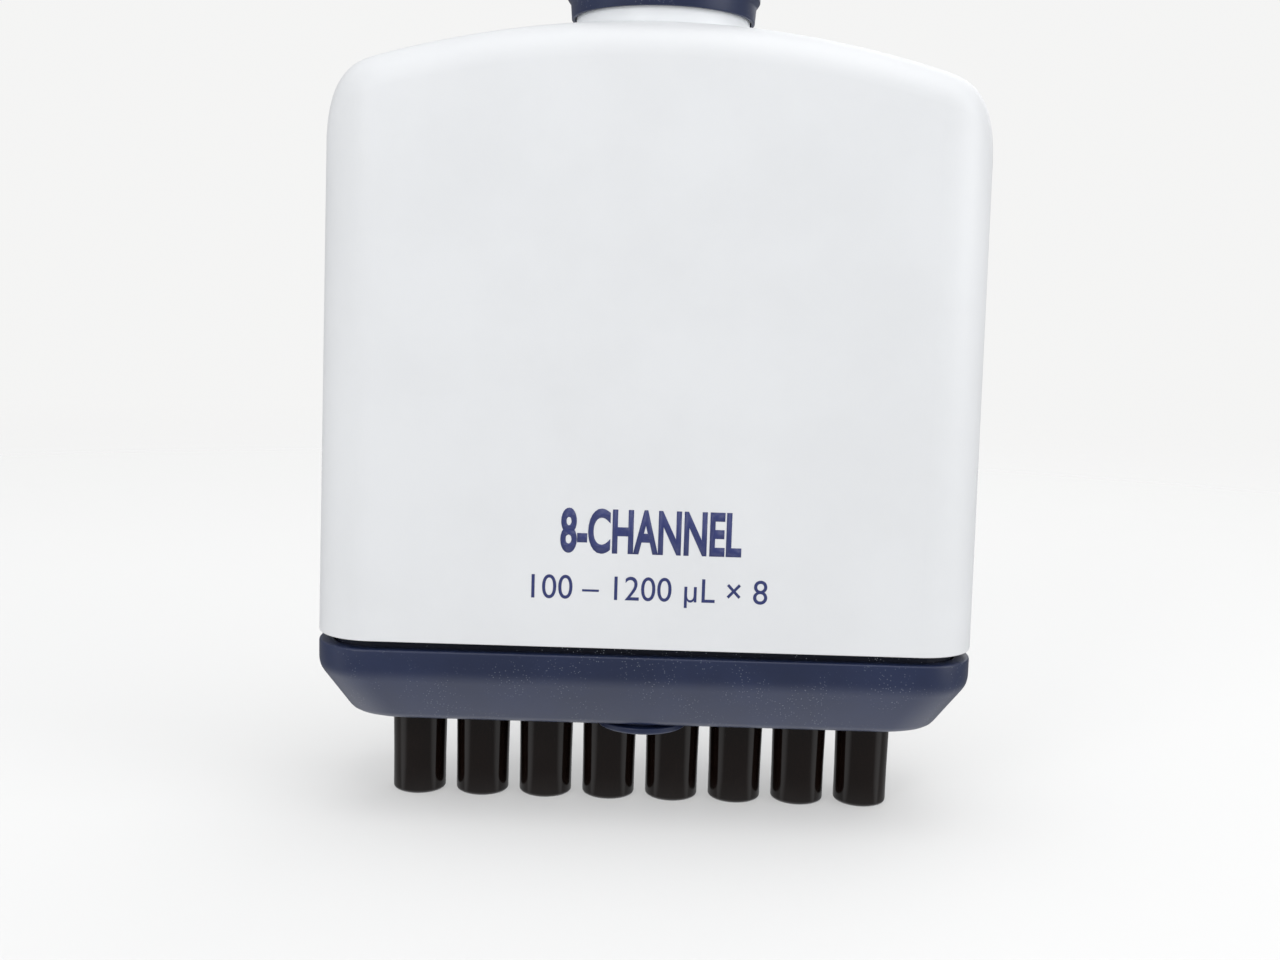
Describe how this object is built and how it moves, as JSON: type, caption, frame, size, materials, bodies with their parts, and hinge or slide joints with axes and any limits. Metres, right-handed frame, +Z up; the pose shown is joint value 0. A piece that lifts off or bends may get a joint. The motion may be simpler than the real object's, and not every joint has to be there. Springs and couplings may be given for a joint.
{
  "type": "multichannel adjustable micropipette",
  "caption": "Hand-held air-displacement pipette with a wide swivelling head, a row of tip shafts, a sprung tip-ejector skirt, plunger and volume knob.",
  "frame": {"origin": "middle of the row of tip shafts, in the plane of their open ends", "axes": "+Z up along the barrel from the tip shafts to the plunger, -Y out of the front face with the print, +X along the row to the right seen from the front"},
  "size_m": [0.088, 0.061, 0.266],
  "materials": {
    "housing_white": "fine satin moulding, cool white",
    "collar_grey": "satin moulding, pale grey",
    "skirt_navy": "satin moulding, deep navy",
    "grip_navy": "soft-touch pad with fine ribs",
    "shaft_black": "glossy black moulding",
    "base_black": "matt black moulding",
    "frame_grey": "filled engineering plastic",
    "cylinder_grey": "moulded cylinder block",
    "steel": "stainless, drawn or turned",
    "aluminium": "milled, anodised",
    "brass": "turned",
    "piston_white": "polished polymer",
    "seal_white": "low-friction lip seal",
    "gasket_black": "moulded rubber",
    "window_clear": "clear polished plastic",
    "drum_white": "satin white with printed figures",
    "print_navy": "printed ink"
  },
  "bodies": {
    "handle": {"handle_front_shell": "housing_white", "handle_rear_shell": "housing_white", "shell_screws": "steel", "finger_hook": "skirt_navy", "grip_pad": "grip_navy", "display_window": "window_clear", "top_collar": "skirt_navy", "inner_frame": "frame_grey", "coupling_spigot": "frame_grey", "main_spring": "steel", "blow_out_spring": "steel", "blow_out_washer": "brass", "ejector_spring": "steel"},
    "plunger": {"push_rod": "steel", "rod_collar": "brass"},
    "volume_knob": {"plunger_knob": "housing_white", "knob_cap": "skirt_navy", "drive_spindle": "piston_white"},
    "volume_screw": {"volume_screw": "brass"},
    "stop_sleeve": {"stop_sleeve": "frame_grey"},
    "thousands_drum": {"thousands_drum": "drum_white"},
    "hundreds_drum": {"hundreds_drum": "drum_white"},
    "tens_drum": {"tens_drum": "drum_white"},
    "lock_ring": {"lock_ring": "skirt_navy"},
    "ejector": {"ejector_button": "skirt_navy", "ejector_rod": "steel", "ejector_sleeve": "frame_grey"},
    "coupling_nut": {"coupling_nut": "skirt_navy"},
    "head": {"front_cover": "housing_white", "rear_cover": "housing_white", "cover_screws": "steel", "base_plate": "base_black", "manifold_block": "frame_grey", "manifold_gasket": "gasket_black", "cylinder_block": "cylinder_grey", "piston_seals": "seal_white", "seal_plate": "steel", "seal_plate_screws": "steel", "guide_posts": "steel", "neck_collar": "collar_grey", "tip_shaft_1": "shaft_black", "tip_shaft_2": "shaft_black", "tip_shaft_3": "shaft_black", "tip_shaft_4": "shaft_black", "tip_shaft_5": "shaft_black", "tip_shaft_6": "shaft_black", "tip_shaft_7": "shaft_black", "tip_shaft_8": "shaft_black", "shaft_o_rings": "gasket_black", "skirt_springs": "steel"},
    "pistons": {"piston_carriage": "aluminium", "piston_clamp": "aluminium", "clamp_screws": "steel", "rod_socket": "steel", "front_row_pistons": "piston_white", "rear_row_pistons": "piston_white"},
    "skirt": {"ejector_skirt": "skirt_navy", "ejector_rods": "steel", "ejector_yoke": "steel"}
  },
  "joints": [
    {"name": "plunger_slide", "type": "slide", "parent": "handle", "child": "plunger", "axis": [0, 0, -1], "range_m": [0, 0.0196], "stiffness_N_per_m": 600, "springref_m": -0.008, "deforming": ["main_spring"]},
    {"name": "volume_turn", "type": "hinge", "parent": "plunger", "child": "volume_knob", "pos_m": [0, 0, 0.259], "axis": [0, 0, 1], "range_deg": [-3965, 5]},
    {"name": "volume_screw_turn", "type": "hinge", "parent": "handle", "child": "volume_screw", "pos_m": [0, 0, 0.196], "axis": [0, 0, 1], "range_deg": [-3965, 5]},
    {"name": "stop_sleeve_slide", "type": "slide", "parent": "handle", "child": "stop_sleeve", "axis": [0, 0, 1], "range_m": [-0.01518, 0]},
    {"name": "thousands_drum_turn", "type": "hinge", "parent": "handle", "child": "thousands_drum", "pos_m": [0, 0, 0.213], "axis": [0, 0, 1], "range_deg": [-41, 1]},
    {"name": "hundreds_drum_turn", "type": "hinge", "parent": "handle", "child": "hundreds_drum", "pos_m": [0, 0, 0.207], "axis": [0, 0, 1], "range_deg": [-398, 2]},
    {"name": "tens_drum_turn", "type": "hinge", "parent": "handle", "child": "tens_drum", "pos_m": [0, 0, 0.2], "axis": [0, 0, 1], "range_deg": [-3965, 5]},
    {"name": "lock_turn", "type": "hinge", "parent": "handle", "child": "lock_ring", "pos_m": [0, 0, 0.2247], "axis": [0, 0, 1], "range_deg": [0, 25]},
    {"name": "ejector_press", "type": "slide", "parent": "handle", "child": "ejector", "axis": [0, 0, -1], "range_m": [0, 0.0075], "stiffness_N_per_m": 800, "springref_m": -0.004, "deforming": ["ejector_spring"]},
    {"name": "nut_turn", "type": "hinge", "parent": "handle", "child": "coupling_nut", "pos_m": [0, 0, 0.114], "axis": [0, 0, 1], "range_deg": [0, 720]},
    {"name": "head_swivel", "type": "hinge", "parent": "handle", "child": "head", "pos_m": [0, 0, 0.106], "axis": [0, 0, 1], "continuous": true},
    {"name": "piston_slide", "type": "slide", "parent": "head", "child": "pistons", "axis": [0, 0, -1], "range_m": [-0.0001, 0.0197]},
    {"name": "skirt_slide", "type": "slide", "parent": "head", "child": "skirt", "axis": [0, 0, -1], "range_m": [-0.0001, 0.0076], "deforming": ["skirt_springs"]}
  ],
  "couplings": [
    {"joint": "volume_turn", "follows": "stop_sleeve_slide", "rad_per_m": 4553},
    {"joint": "volume_screw_turn", "follows": "stop_sleeve_slide", "rad_per_m": 4553},
    {"joint": "thousands_drum_turn", "follows": "stop_sleeve_slide", "rad_per_m": 45.53},
    {"joint": "hundreds_drum_turn", "follows": "stop_sleeve_slide", "rad_per_m": 455.3},
    {"joint": "tens_drum_turn", "follows": "stop_sleeve_slide", "rad_per_m": 4553},
    {"joint": "piston_slide", "follows": "plunger_slide", "ratio": 1},
    {"joint": "skirt_slide", "follows": "ejector_press", "ratio": 1}
  ]
}
